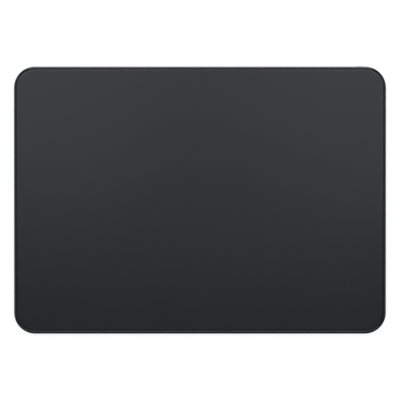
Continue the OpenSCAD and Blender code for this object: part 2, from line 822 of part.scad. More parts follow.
// A pan under the cores, with tabs that step up to the base plate's standoffs
module haptic_bracket() color("#aeb1b5") difference() {
  at_motor() {
    block([-bracket_x, -core_len / 2, base_top], [bracket_x, core_len / 2, pan_top]);
    for (sx = [0, 1], sy = [0, 1]) mirror([sx, 0, 0]) mirror([0, sy, 0])
      along_y(core_len / 2 - bracket_tab, core_len / 2) translate([bracket_x, base_top]) {
        translate([-bracket_t, 0]) square([bracket_t, standoff_h + bracket_t]);
        translate([-bracket_t, standoff_h]) square([bracket_tab + bracket_t, bracket_t]);
      }
  }
  at_bracket_screws() cylinder(r = small_screw_r + screw_gap, h = cut_h);
}

module haptic_screws() color("#8d8f92") at_bracket_screws()
  translate([0, 0, base_top + standoff_h + bracket_t]) small_screw(standoff_h + bracket_t);

// An E with its poles towards the armature
module core_plan() difference() {
  translate([(pole_tip_x + core_back_x) / 2, 0])
    rounded_plan(core_back_x - pole_tip_x, core_len, core_r);
  for (s = [0, 1]) mirror([0, s]) translate([0, middle_pole_w / 2])
    square([spine_x, (core_len - middle_pole_w) / 2 - outer_pole_w]);
}

// The middle pole is lower than the rest, to leave room for its coil
module haptic_core(side) color("#6f7378") at_motor() mirror([side[1] < 0 ? 1 : 0, 0, 0])
  difference() {
    translate([0, 0, core_bottom]) linear_extrude(core_top - core_bottom) core_plan();
    for (z = [[core_bottom - over_cut, pole_bottom], [pole_top, core_top + over_cut]])
      block([0, -middle_pole_w / 2 - coil_t, z[0]], [spine_x, middle_pole_w / 2 + coil_t, z[1]]);
  }

module haptic_coil(side) color("#b4703a") at_motor() mirror([side[1] < 0 ? 1 : 0, 0, 0])
  translate([pole_tip_x + coil_front_gap, 0, pole_mid_z]) rotate([90, 0, 90])
    linear_extrude(pole_len - coil_front_gap - coil_back_gap) difference() {
      bore_w = middle_pole_w + 2 * coil_gap;
      bore_h = pole_h + 2 * coil_gap;
      rounded_plan(bore_w + 2 * coil_t, bore_h + 2 * coil_t, coil_t);
      square([bore_w, bore_h], center = true);
    }

module haptic_armature() color("#7d8186") difference() {
  at_motor() block(
    [-armature_w / 2, -core_len / 2, armature_bottom],
    [armature_w / 2, core_len / 2, back_h]
  );
  above(carrier_under);
}

// Battery

// A pouch with a sealed lip in front, which its protection board lies on
module battery_cell() color("#55585c") {
  translate([0, (battery_front + battery_back) / 2, base_top + battery_t / 2])
    pouch(battery_w, battery_d, battery_t, battery_r, cell_edge);
  block(
    [cell_board_left, cell_board_front, base_top],
    [cell_board_left + cell_board_l, battery_front + 2 * cell_edge, base_top + cell_lip_t]
  );
}

module battery_board() color("#1f5a3a") block(
  [cell_board_left, cell_board_front, cell_board_bottom],
  [cell_board_left + cell_board_l, battery_front, cell_board_top]
);

// A strip that steps up from the protection board to the main board's socket
module battery_lead() color("#c47a2c") {
  socket_top = board_top + connector_h;
  landing = board_back - socket_edge - socket_d;
  translate([board_x - battery_lead_w / 2, 0, 0]) rotate([90, 0, 90])
    linear_extrude(battery_lead_w) polygon([
      [cell_board_front + battery_lead_pad, cell_board_top],
      [cell_board_front + battery_lead_pad, cell_board_top + ribbon_t],
      [cell_board_front, cell_board_top + ribbon_t],
      [board_back - socket_edge, socket_top + ribbon_t],
      [landing, socket_top + ribbon_t],
      [landing, socket_top],
      [board_back - socket_edge, socket_top],
      [cell_board_front, cell_board_top],
    ]);
}

// Main board

module main_board() color("#16432c") difference() {
  translate([board_x, board_y, board_bottom]) flat_board(board_w, board_d);
  at_board_screws() cylinder(r = small_screw_r + screw_gap, h = cut_h);
}

module board_screws() color("#8d8f92") at_board_screws()
  translate([0, 0, board_top]) small_screw(board_t + standoff_h);

// A can over the radio, with a pattern of vents in its top
module wireless_shield() color("#b9bcc0") translate([shield_x, board_y, board_top]) difference() {
  rounded_slab(shield_w, shield_d, shield_h, shield_r, shield_edge_r);
  translate([0, 0, -over_cut]) linear_extrude(shield_h - shield_t + over_cut)
    rounded_plan(shield_w - 2 * shield_t, shield_d - 2 * shield_t, shield_r - shield_t);
  for (x = [-vent_pitch, 0, vent_pitch], y = [-vent_pitch, 0, vent_pitch])
    translate([x, y, 0]) cylinder(r = vent_r, h = cut_h);
}

module board_chips() color("#202124") translate([board_right, board_y, board_top])
  chips(main_chips);

module board_connectors() color("#d8d2c4") translate([0, 0, board_top])
  linear_extrude(connector_h) {
    translate([touch_link_x, touch_link_y]) square([touch_link_w, touch_link_d], center = true);
    translate([board_x - battery_socket_w / 2, board_back - socket_edge - socket_d])
      square([battery_socket_w, socket_d]);
    translate([board_right - socket_edge - socket_d, motor_y - motor_socket_w / 2])
      square([socket_d, motor_socket_w]);
  }

// The ribbon from the main board's socket up to the touch plug, seen from the side
module link_section() translate([link_fold_y, link_low + link_r]) {
  translate([0, -link_r]) square([link_len, ribbon_t]);
  rotate(slope) translate([0, link_r - ribbon_t]) square([link_len, ribbon_t]);
  difference() {
    circle(r = link_r);
    circle(r = link_r - ribbon_t);
    for (a = [0, slope]) rotate(a) translate([0, -link_r]) square(2 * link_r);
  }
}

module touch_ribbon() color("#c47a2c")
  translate([touch_link_x - touch_link_w / 2 + link_edge, 0, 0]) rotate([90, 0, 90])
    linear_extrude(touch_link_w - 2 * link_edge) link_section();

// A strip that steps down from the main board's socket to the motor's bracket
module haptic_lead() color("#c47a2c") {
  socket_top = board_top + connector_h;
  landing = board_right - socket_edge - socket_d;
  pan_edge = motor_x - bracket_x;
  along_y(motor_y - motor_lead_w / 2, motor_y + motor_lead_w / 2) polygon([
    [landing, socket_top],
    [board_right, socket_top],
    [pan_edge - motor_lead_foot, pan_top],
    [pan_edge + bracket_t, pan_top],
    [pan_edge + bracket_t, pan_top + ribbon_t],
    [pan_edge - motor_lead_foot, pan_top + ribbon_t],
    [board_right, socket_top + ribbon_t],
    [landing, socket_top + ribbon_t],
  ]);
}

// A ribbon along one side, from both leaf springs to the main board
module gauge_ribbon(side) color("#c47a2c") {
  x = side[1] * gauge_ribbon_x;
  left_end = [board_left + ribbon_landing, board_y];
  right_end = [board_x, board_front + ribbon_landing];
  front_y = side[1] < 0 ? -leaf_y : min(-leaf_y, cross_ribbon_y);
  base_ribbon([[x, front_y], [x, leaf_y]]);
  for (s = [-1, 1]) gauge_riser(side, s);
  if (side[1] < 0) {
    base_ribbon([[x, board_y], left_end]);
    ribbon_plug(left_end, board_bottom);
  } else {
    base_ribbon([[x, cross_ribbon_y], [board_x, cross_ribbon_y], right_end]);
    ribbon_plug(right_end, board_bottom);
  }
}

// The end of a gauge's ribbon, which climbs the face of the leaf's seat
module gauge_riser(side, s) {
  top = plane_z(s * leaf_y - ribbon_w / 2, leaf_under + gauge_t);
  mirror([side[1] < 0 ? 1 : 0, 0, 0]) block(
    [lug_face_x - ribbon_t, s * leaf_y - ribbon_w / 2, base_top],
    [lug_face_x, s * leaf_y + ribbon_w / 2, top]
  );
}

// Charging port

module port_shell() color("#b9bcc0") translate([0, 0, port_z]) difference() {
  along_y(port_end_y, port_mouth_y) stadium(port_w, port_h);
  along_y(port_end_y + port_wall, port_mouth_y + over_cut)
    stadium(port_w - 2 * port_wall, port_h - 2 * port_wall);
}

// A thin tongue on a thicker root
module port_tongue() color("#1a1a1b") translate([-tongue_w / 2, 0, port_z]) rotate([90, 0, 90])
  linear_extrude(tongue_w) translate([port_end_y + port_wall, 0]) {
    tongue_len = port_len - port_wall - tongue_setback;
    translate([0, -tongue_t / 2]) square([tongue_len, tongue_t]);
    translate([0, -tongue_root_t / 2]) square([tongue_root_len, tongue_root_t]);
  }

module port_board() color("#16432c") difference() {
  translate([0, (port_board_front + port_board_back) / 2, port_board_bottom])
    flat_board(port_board_w, port_board_back - port_board_front);
  at_port_screws() cylinder(r = small_screw_r + screw_gap, h = cut_h);
}

// A band bent over the round ends of the receptacle, with a foot at each side
module strap_section() {
  difference() {
    union() {
      stadium(2 * (strap_x + strap_t), port_h + 2 * (strap_gap + strap_t));
      translate([-strap_x - strap_t, -port_h / 2]) square([2 * (strap_x + strap_t), port_h / 2]);
      translate([-port_board_w / 2, -port_h / 2]) square([port_board_w, strap_t]);
    }
    stadium(2 * strap_x, port_h + 2 * strap_gap);
    translate([-strap_x, -port_h / 2 - cut_h]) square([2 * strap_x, port_h / 2 + cut_h]);
    translate([-port_board_w, -port_h / 2 - cut_h]) square([2 * port_board_w, cut_h]);
  }
}

module port_strap() color("#b9bcc0") difference() {
  along_y(strap_y, strap_y + strap_w) translate([0, port_z]) strap_section();
  at_port_screws() cylinder(r = small_screw_r + screw_gap, h = cut_h);
}

module port_screws() color("#8d8f92") at_port_screws()
  translate([0, 0, port_board_top + strap_t]) small_screw(port_screw_len);

// The ribbon runs round the back of the battery to the main board
module port_ribbon() color("#c47a2c") {
  start = [-port_plug_x, port_plug_y];
  end = [board_left + ribbon_landing, port_landing_y];
  base_ribbon([
    start,
    [start[0], port_ribbon_y],
    [port_ribbon_x, port_ribbon_y],
    [port_ribbon_x, end[1]],
    end,
  ]);
  ribbon_plug(start, port_board_bottom);
  ribbon_plug(end, board_bottom);
}

// Power switch

module power_slider() color("#3a3b3d") translate([slider_x, 0, port_z]) {
  along_y(cap_front_y, cap_back_y) stadium(slider_w, slider_h);
  block([-stem_w / 2, stem_end_y, -stem_h / 2], [stem_w / 2, cap_front_y, stem_h / 2]);
  for (s = [-1, 1]) translate([s * ridge_pitch / 2, 0, -ridge_h / 2]) linear_extrude(ridge_h) {
    translate([-ridge_w / 2, cap_front_y]) square([ridge_w, ridge_tip_y - cap_front_y]);
    translate([0, ridge_tip_y]) circle(d = ridge_w);
  }
}

// The slit that the stem slides in, between two places along Y
module stem_slit(from, to) block(
  [-(stem_w + switch_travel) / 2 - stem_gap, from, -stem_h / 2 - stem_gap],
  [(stem_w + switch_travel) / 2 + stem_gap, to, stem_h / 2 + stem_gap]
);

module switch_mark() color("#3fae49") translate([slot_x, 0, port_z]) difference() {
  block([-mark_w / 2, mark_front_y, -mark_h / 2], [mark_w / 2, inner_y, mark_h / 2]);
  stem_slit(mark_front_y - over_cut, inner_y + over_cut);
}

module switch_case() color("#9fa3a8") translate([slot_x, 0, port_z]) difference() {
  block([-case_w / 2, case_front_y, -switch_h / 2], [case_w / 2, case_back_y, switch_h / 2]);
  stem_slit(stem_end_y - stem_end_gap, case_back_y + over_cut);
}

module switch_board() color("#16432c") difference() {
  translate([(switch_board_left + switch_board_right) / 2, case_front_y, port_z])
    rotate([90, 0, 0]) flat_board(switch_board_w, switch_board_h);
  at_switch_screws() translate([0, 0, -back_h])
    cylinder(r = small_screw_r + screw_gap, h = 2 * back_h);
}

module switch_screws() color("#8d8f92") at_switch_screws() small_screw(switch_screw_len);

// The ribbon runs along the back of the battery to the port board
module switch_ribbon() color("#c47a2c") {
  start = [port_plug_x, port_plug_y];
  end = [switch_plug_x, switch_board_front];
  base_ribbon([
    start,
    [start[0], port_ribbon_y],
    [end[0], port_ribbon_y],
    end,
  ]);
  ribbon_plug(start, port_board_bottom);
  ribbon_plug(end, port_z - switch_board_h / 2);
}

// Antenna

module antenna_holder() color("#26272a")
  translate([antenna_x + antenna_w / 2, (antenna_front + antenna_back) / 2, ledge_top])
    linear_extrude(antenna_h) rounded_plan(antenna_w, antenna_d, antenna_r);

// A strip bent over the holder's top and front
module antenna_strip() color("#c9a24a") {
  block(
    [antenna_x + antenna_edge, antenna_front - antenna_t, antenna_top],
    [antenna_x + antenna_w - antenna_edge, antenna_back - antenna_edge, antenna_top + antenna_t]
  );
  block(
    [antenna_x + antenna_edge, antenna_front - antenna_t, ledge_top + antenna_edge],
    [antenna_x + antenna_edge + antenna_leg, antenna_front, antenna_top]
  );
}

housing();
base_plate();
base_screws();
flexure_screws();
strain_gauges();
battery_cell();
battery_board();
battery_lead();
main_board();
wireless_shield();
board_chips();
board_connectors();
board_screws();
haptic_bracket();
haptic_screws();
haptic_lead();
haptic_armature();
port_shell();
port_tongue();
port_board();
port_strap();
port_screws();
port_ribbon();
switch_case();
switch_board();
switch_mark();
switch_screws();
switch_ribbon();
power_slider();
antenna_holder();
antenna_strip();
touch_ribbon();
cover_glass();
bond_film();
touch_board();
touch_chips();
touch_plug();
carrier_plate();
for (c = corners) {
  foot(c);
  flexure(c);
  load_button(c);
  gel_pad(c);
}
for (s = sides) {
  haptic_core(s);
  haptic_coil(s);
  gauge_ribbon(s);
}
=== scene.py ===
"""A dark wedge-shaped trackpad, seen from straight above on a white table."""
import json
import math

import bmesh
import bpy
from mathutils import Matrix, Vector


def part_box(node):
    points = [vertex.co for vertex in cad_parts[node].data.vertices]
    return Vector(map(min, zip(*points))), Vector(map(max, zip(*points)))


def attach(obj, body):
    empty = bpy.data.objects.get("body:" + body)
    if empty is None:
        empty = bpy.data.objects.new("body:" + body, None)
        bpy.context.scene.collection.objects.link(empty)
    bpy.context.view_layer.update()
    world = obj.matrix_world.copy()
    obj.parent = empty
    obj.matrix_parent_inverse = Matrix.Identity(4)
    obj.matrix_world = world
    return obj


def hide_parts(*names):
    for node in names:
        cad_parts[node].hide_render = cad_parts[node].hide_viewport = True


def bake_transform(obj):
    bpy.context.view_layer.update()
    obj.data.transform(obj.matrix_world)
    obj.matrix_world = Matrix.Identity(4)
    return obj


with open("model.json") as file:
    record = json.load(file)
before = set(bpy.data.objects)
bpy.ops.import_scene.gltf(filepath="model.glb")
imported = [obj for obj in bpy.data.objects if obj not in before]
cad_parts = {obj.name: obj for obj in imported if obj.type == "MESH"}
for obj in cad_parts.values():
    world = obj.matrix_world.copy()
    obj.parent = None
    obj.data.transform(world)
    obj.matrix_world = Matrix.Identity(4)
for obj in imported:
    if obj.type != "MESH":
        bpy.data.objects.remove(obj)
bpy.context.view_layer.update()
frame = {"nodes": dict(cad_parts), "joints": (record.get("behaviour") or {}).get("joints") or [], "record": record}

MM = 0.001

# The wedge
FRONT_H = 4.9 * MM
BACK_H = 10.9 * MM
CORNER_R = 9.1 * MM

# The glass: its edge rolls down along an oval of these half axes and ends in a bevel
GLASS_T = 1.0 * MM
ROLL_W = 1.7 * MM
ROLL_H = 0.7 * MM
BEVEL_W = 0.45 * MM
BEVEL_ANGLE = math.radians(30)

# A flat ring keeps the shading of its faces even, and a face that leans by more than this is edge
FLAT_BORDER = 0.4 * MM
EDGE_LEAN = math.radians(1)

# The frame, with the slit under the glass and the ledge over the base plate
RIM_GAP = 0.4 * MM
WALL_T = 1.8 * MM
FRAME_EDGE_R = 1.4 * MM
LEDGE_T = 0.6 * MM
LEDGE_W = 2.0 * MM

# The fine outer skin of the frame, and its overlap with the frame's own inside
SKIN_T = 1.4 * MM
OVERLAP = 0.1 * MM

# The base plate, its screws and its feet
BASE_INSET = 3.0 * MM
BASE_SEAM = 0.1 * MM
SCREW_R = 0.7 * MM
SCREW_HEAD_R = 1.4 * MM
SCREW_HEAD_H = 0.35 * MM
SCREW_GAP = 0.04 * MM
FOOT_EDGE_R = 0.2 * MM
FOOT_RING_W = 0.25 * MM
FOOT_RING_D = 0.06 * MM

# The charging port, its tongue and the contacts on it
PORT_WALL = 0.3 * MM
PORT_GAP = 0.12 * MM
TONGUE_T = 0.7 * MM
TONGUE_ROOT = 1.6 * MM
TONGUE_BREAK = 0.12 * MM
CONTACTS = 12
CONTACT_PITCH = 0.5 * MM
CONTACT_HALF_W = 0.14 * MM
CONTACT_HALF_T = 0.02 * MM
CONTACT_SETBACK = 0.6 * MM

# The power slider: a cap in its slot, two grip ridges on it and a stem behind it
SLIDER_GAP = 0.1 * MM
SLIDER_SETBACK = 0.35 * MM
CAP_INSET = 0.25 * MM
CAP_EDGE_R = 0.25 * MM
RIDGE_PITCH = 1.3 * MM
RIDGE_W = 0.5 * MM
RIDGE_H = 1.5 * MM
RIDGE_EDGE_R = 0.2 * MM
STEM_W = 1.2 * MM
STEM_H = 1.0 * MM

# Edge breaks that a hand feels, which the plain solids leave sharp
FINE_BREAK = 0.06 * MM
EDGE_BREAK = 0.15 * MM
MOUTH_BREAK = 0.25 * MM

# Smoothness of the meshes: steps along round forms, the angle of a sharp edge, the pull of large faces
CORNER_STEPS = 40
ROUND_STEPS = 96
ROLL_STEPS = 28
EDGE_STEPS = 14
LIP_STEPS = 9
BEND_STEPS = 8
SMALL_STEPS = 6
TINY_STEPS = 4
CONTACT_STEPS = 2
SHARP_ANGLE = math.radians(35)
LARGE_FACE_WEIGHT = 100

# Points closer than this are one
WELD = 0.0005 * MM

# The middle range of a noise, over which colours and roughness run from end to end
COLOUR_RANGE = (0.35, 0.65)
ROUGHNESS_RANGE = (0.3, 0.7)

# A grained surface: how much wider than its grain its colour varies, and how far its roughness does
BROAD_FACTOR = 40
ROUGHNESS_VARY = 0.06

# Length after which a wave texture of scale 1 repeats
WAVE_PERIOD = math.pi / 10

# Stage: a flat disc, a floor round it and a low wall beyond a cove, in metres
DISC_R = 0.3
STAGE_R = 2.5
COVE_R = 0.4
STAGE_TOP = 0.5

# How pale the floor is to light, and what the eye sees: a shaded part and an even glow
FLOOR_PALE = 0.8
FLOOR_SHADED = 0.26
FLOOR_GLOW = 0.85

# Light: panels hang at one height over the glass, the other lamps stand well away, in metres
LAMP_COLOUR = (0.96, 1.0, 1.04)
ROOM_COLOUR = (0.04, 0.04, 0.041)
PANEL_Z = 0.26
PANEL_X = 0.095
PANEL_Y = 0.02
MIDDLE_PANEL_Y = -0.01
STRIP_Y = 0.09
FAR = 0.95
SIDE_LAMP_Z = 0.50
BACK_LAMP_Z = 0.62
FRONT_LAMP_Y = -0.40
FRONT_LAMP_Z = 0.51
FILL_Z = 1.2

# Camera: pixels of the photograph's width, of the object's, and of its middle under the picture's
IMAGE_PIXELS = 400
OBJECT_PIXELS = 371.9
OBJECT_DOWN_PIXELS = 0.25

# A very long lens, and the nearest place that it shows, in metres
LENS_MM = 1200
SENSOR_MM = 36
NEAREST = 0.1

# The frame's own measures, and what follows from them
housing_low, housing_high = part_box("housing")
HALF_W = housing_high.x
HALF_D = housing_high.y
BASE_Z = housing_low.z
SLOPE = math.atan((BACK_H - FRONT_H) / (2 * HALF_D))
MIDDLE_H = (FRONT_H + BACK_H) / 2
RIM_DEPTH = GLASS_T + RIM_GAP
INNER_Y = HALF_D - WALL_T
BASE_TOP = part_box("battery_cell")[0].z
PLATE_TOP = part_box("base_plate")[1].z
LEDGE_TOP = BASE_TOP + LEDGE_T
foot_low, foot_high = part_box("foot_rear_right")
FOOT_X = (foot_high.x + foot_low.x) / 2
FOOT_Y = (foot_high.y + foot_low.y) / 2
FOOT_TOP = foot_high.z
FOOT_R = (foot_high.x - foot_low.x) / 2
FOOT_RING_R = 0.72 * FOOT_R
FOOT_CORE_R = 0.2 * FOOT_R
shell_low, shell_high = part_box("port_shell")
PORT_Z = (shell_low.z + shell_high.z) / 2
PORT_W = shell_high.x - shell_low.x
PORT_H = shell_high.z - shell_low.z
slider_low, slider_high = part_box("power_slider")
SLIDER_X = (slider_low.x + slider_high.x) / 2
SLIDER_W = slider_high.x - slider_low.x
SLIDER_H = slider_high.z - slider_low.z
SLIDE = next(j["range_m"][1] for j in frame["joints"] if j["name"] == "power_slide")
SLOT_X = SLIDER_X - SLIDE / 2
SLOT_W = SLIDER_W + SLIDE + 2 * SLIDER_GAP
SLOT_H = SLIDER_H + 2 * SLIDER_GAP

# Width, height and middle of the two mouths in the back wall
MOUTHS = (
    (PORT_W + 2 * PORT_GAP, PORT_H + 2 * PORT_GAP, 0.0),
    (SLOT_W, SLOT_H, SLOT_X),
)

# Signs of x and y at each corner, and the ending of a half piece's name by its side
CORNERS = {
    "front_left": (-1, -1),
    "front_right": (1, -1),
    "rear_left": (-1, 1),
    "rear_right": (1, 1),
}
SIDE_ENDINGS = {0: "", 1: "_right", -1: "_left"}


def plane_z(y, depth):
    """Height of the plane that lies this deep under the touch surface."""
    return FRONT_H + (y + HALF_D) * math.tan(SLOPE) - depth / math.cos(SLOPE)


# Materials

class Surface:
    """A material whose Principled shader is fed by procedural textures in metres."""

    def __init__(self, name, metallic=0.0, specular=0.5):
        self.name = name
        self.material = bpy.data.materials.new(name)
        self.material.use_nodes = True
        self.tree = self.material.node_tree
        self.bsdf = self.tree.nodes["Principled BSDF"]
        self.bsdf.inputs["Metallic"].default_value = metallic
        self.bsdf.inputs["Specular IOR Level"].default_value = specular
        self.place = self.node("ShaderNodeTexCoord").outputs["Object"]
        self.relief = None

    def node(self, kind, **settings):
        made = self.tree.nodes.new(kind)
        for key, value in settings.items():
            setattr(made, key, value)
        return made

    def link(self, source, socket):
        self.tree.links.new(source, socket)

    def noise(self, size, detail=3.0, stretch=(1, 1, 1)):
        """Cloudy noise whose patches are about this many metres across."""
        mapping = self.node("ShaderNodeMapping")
        mapping.inputs["Scale"].default_value = stretch
        self.link(self.place, mapping.inputs["Vector"])
        texture = self.node("ShaderNodeTexNoise")
        texture.inputs["Scale"].default_value = 1 / size
        texture.inputs["Detail"].default_value = detail
        self.link(mapping.outputs["Vector"], texture.inputs["Vector"])
        return texture.outputs["Fac"]

    def cells(self, size):
        """Distance from the middles of irregular cells of this size."""
        texture = self.node("ShaderNodeTexVoronoi")
        texture.inputs["Scale"].default_value = 1 / size
        self.link(self.place, texture.inputs["Vector"])
        return texture.outputs["Distance"]

    def stripes(self, pitch, axis, distortion=0.0):
        """Soft stripes that follow each other along an axis at this pitch."""
        texture = self.node("ShaderNodeTexWave", bands_direction=axis)
        texture.inputs["Scale"].default_value = WAVE_PERIOD / pitch
        texture.inputs["Distortion"].default_value = distortion
        self.link(self.place, texture.inputs["Vector"])
        return texture.outputs["Fac"]

    def blocks(self, width, height, gap):
        """Lines of a brick pattern: 1 in the gaps."""
        texture = self.node("ShaderNodeTexBrick", offset=0.37)
        texture.inputs["Scale"].default_value = 1.0
        texture.inputs["Brick Width"].default_value = width
        texture.inputs["Row Height"].default_value = height
        texture.inputs["Mortar Size"].default_value = gap
        self.link(self.place, texture.inputs["Vector"])
        return texture.outputs["Fac"]

    def spread(self, source, span, least, most):
        """Values from least to most, as the source runs over its span."""
        ranged = self.node("ShaderNodeMapRange")
        for name, value in zip(("From Min", "From Max", "To Min", "To Max"), (*span, least, most)):
            ranged.inputs[name].default_value = value
        self.link(source, ranged.inputs["Value"])
        return ranged.outputs["Result"]

    def colour(self, source, dark, light):
        """Base colours between two ends, as the source runs over its middle range."""
        ramp = self.node("ShaderNodeValToRGB")
        for element, place, colour in zip(ramp.color_ramp.elements, COLOUR_RANGE, (dark, light)):
            element.position = place
            element.color = (*colour, 1)
        self.link(source, ramp.inputs["Fac"])
        self.link(ramp.outputs["Color"], self.bsdf.inputs["Base Color"])

    def overlay(self, source, colour, span=(0.4, 0.6)):
        """Lays a second colour over the first, as the source runs over its span."""
        mix = self.node("ShaderNodeMix", data_type="RGBA")
        self.link(self.spread(source, span, 0, 1), mix.inputs["Factor"])
        under, over = [s for s in mix.inputs if s.type == "RGBA"]
        mixed = [s for s in mix.outputs if s.type == "RGBA"][0]
        self.link(self.bsdf.inputs["Base Color"].links[0].from_socket, under)
        over.default_value = (*colour, 1)
        self.link(mixed, self.bsdf.inputs["Base Color"])

    def roughness(self, source, least, most):
        self.link(self.spread(source, ROUGHNESS_RANGE, least, most), self.bsdf.inputs["Roughness"])

    def bump(self, source, height, strength=1.0):
        """Adds relief of this height in metres over what is there."""
        bump = self.node("ShaderNodeBump")
        bump.inputs["Strength"].default_value = strength
        bump.inputs["Distance"].default_value = height
        self.link(source, bump.inputs["Height"])
        if self.relief is not None:
            self.link(self.relief, bump.inputs["Normal"])
        self.relief = bump.outputs["Normal"]
        self.link(self.relief, self.bsdf.inputs["Normal"])


def tint(colour, factor):
    return tuple(c * factor for c in colour)


def grained(name, colour, rough, grain, relief, metallic=0.0, vary=0.15, stretch=(1, 1, 1)):
    """A surface whose roughness and relief follow a fine grain, while its colour varies broadly."""
    made = Surface(name, metallic)
    fine = made.noise(grain, detail=4.0, stretch=stretch)
    broad = made.noise(grain * BROAD_FACTOR, detail=2.0)
    made.colour(broad, dark=tint(colour, 1 - vary), light=tint(colour, 1 + vary))
    made.roughness(fine, least=rough - ROUGHNESS_VARY, most=rough + ROUGHNESS_VARY)
    made.bump(fine, height=relief)
    return made


def rolled_metal(name, colour, rough):
    """Sheet with the long fine marks of a roller."""
    return grained(
        name, colour, rough, grain=0.1 * MM, relief=0.002 * MM, metallic=1.0, vary=0.08,
        stretch=(1, 0.04, 1))


def cover_glass():
    """Dark glass with an etched, silky upper face."""
    made = Surface("cover_glass")
    broad = made.noise(45 * MM, detail=2.0)
    etch = made.noise(0.12 * MM)
    made.colour(broad, dark=(0.0080, 0.0082, 0.0087), light=(0.0091, 0.0093, 0.0098))
    made.roughness(etch, least=0.32, most=0.38)
    made.bump(etch, height=0.0008 * MM, strength=0.5)
    return made


def glass_edge():
    """The same glass where its edge rolls down, ground and polished."""
    made = Surface("glass_edge")
    broad = made.noise(20 * MM, detail=2.0)
    polish = made.noise(0.08 * MM, stretch=(1, 1, 0.2))
    made.colour(broad, dark=(0.0084, 0.0086, 0.0091), light=(0.0095, 0.0097, 0.0102))
    made.roughness(polish, least=0.24, most=0.30)
    made.bump(polish, height=0.0005 * MM, strength=0.5)
    return made


def anodised_black():
    """Bead-blasted aluminium under a black oxide layer."""
    made = Surface("anodised_black", metallic=0.75, specular=0.4)
    blast = made.noise(0.16 * MM, detail=4.0)
    pits = made.cells(0.22 * MM)
    broad = made.noise(30 * MM, detail=2.0)
    made.colour(broad, dark=(0.030, 0.031, 0.034), light=(0.036, 0.037, 0.040))
    made.roughness(blast, least=0.36, most=0.50)
    made.bump(blast, height=0.004 * MM)
    made.bump(pits, height=0.003 * MM)
    return made


def base_grey():
    """The base plate's finer, flatter oxide."""
    made = Surface("base_grey", metallic=0.6, specular=0.4)
    blast = made.noise(0.12 * MM, detail=4.0)
    broad = made.noise(25 * MM, detail=2.0)
    made.colour(broad, dark=(0.033, 0.034, 0.037), light=(0.039, 0.040, 0.043))
    made.roughness(blast, least=0.42, most=0.55)
    made.bump(blast, height=0.003 * MM)
    return made


def rubber():
    """Grained rubber with a little dust in it."""
    made = Surface("rubber", specular=0.3)
    grain = made.cells(0.18 * MM)
    dust = made.noise(1.2 * MM)
    made.colour(dust, dark=(0.017, 0.017, 0.018), light=(0.027, 0.027, 0.028))
    made.roughness(dust, least=0.72, most=0.88)
    made.bump(grain, height=0.012 * MM)
    return made


def circuit_board():
    """Green solder mask over copper tracks, with a woven core and gold pads."""
    made = Surface("circuit_board")
    weave = made.stripes(0.5 * MM, "X", distortion=0.4)
    tracks = made.blocks(width=3.1 * MM, height=0.8 * MM, gap=0.09 * MM)
    pads = made.cells(2.4 * MM)
    made.colour(weave, dark=(0.010, 0.058, 0.030), light=(0.013, 0.072, 0.037))
    made.overlay(tracks, (0.022, 0.115, 0.055))
    made.overlay(pads, (0.55, 0.40, 0.14), span=(0.12, 0.08))
    made.roughness(weave, least=0.32, most=0.42)
    made.bump(tracks, height=0.02 * MM)
    return made


def ribbon_film():
    """Amber film with copper lines that show through."""
    made = Surface("ribbon")
    lines = made.stripes(0.25 * MM, "DIAGONAL")
    cloud = made.noise(2 * MM, detail=2.0)
    made.colour(lines, dark=(0.30, 0.115, 0.022), light=(0.47, 0.21, 0.05))
    made.roughness(cloud, least=0.28, most=0.40)
    made.bump(lines, height=0.01 * MM)
    return made


def cell_foil():
    """Laminated foil, pressed a little uneven over the cell."""
    made = Surface("cell_foil", metallic=0.8)
    dents = made.noise(9 * MM, detail=2.0)
    grain = made.noise(0.3 * MM)
    made.colour(dents, dark=(0.13, 0.135, 0.14), light=(0.18, 0.185, 0.19))
    made.roughness(grain, least=0.30, most=0.44)
    made.bump(dents, height=0.08 * MM)
    made.bump(grain, height=0.004 * MM)
    return made


def copper_coil():
    """Enamelled wire, wound close."""
    made = Surface("copper", metallic=0.9)
    turns = made.stripes(0.14 * MM, "X")
    cloud = made.noise(1.5 * MM, detail=2.0)
    made.colour(turns, dark=(0.22, 0.075, 0.025), light=(0.56, 0.23, 0.09))
    made.roughness(cloud, least=0.25, most=0.38)
    made.bump(turns, height=0.06 * MM)
    return made


def core_iron():
    """Stacked sheet, so its edges show as fine level lines."""
    made = Surface("core_iron", metallic=0.9)
    sheets = made.stripes(0.2 * MM, "Z")
    cloud = made.noise(3 * MM)
    made.colour(cloud, dark=(0.15, 0.155, 0.16), light=(0.22, 0.225, 0.23))
    made.roughness(cloud, least=0.42, most=0.58)
    made.bump(sheets, height=0.02 * MM)
    return made


def switch_mark():
    """Green on the half that the slider leaves open at rest, black on the half that it then opens."""
    made = grained(
        "green_plastic", (0.05, 0.45, 0.08), rough=0.42, grain=0.08 * MM, relief=0.003 * MM, vary=0.06)
    axes = made.node("ShaderNodeSeparateXYZ")
    made.link(made.place, axes.inputs["Vector"])
    split = (SLOT_X - FINE_BREAK, SLOT_X + FINE_BREAK)
    made.overlay(axes.outputs["X"], (0.016, 0.016, 0.017), split)
    return made


def gold_plate():
    """Thin bright plating."""
    return grained(
        "gold", (0.66, 0.45, 0.15), rough=0.24, grain=0.05 * MM, relief=0.001 * MM, metallic=1.0,
        vary=0.06)


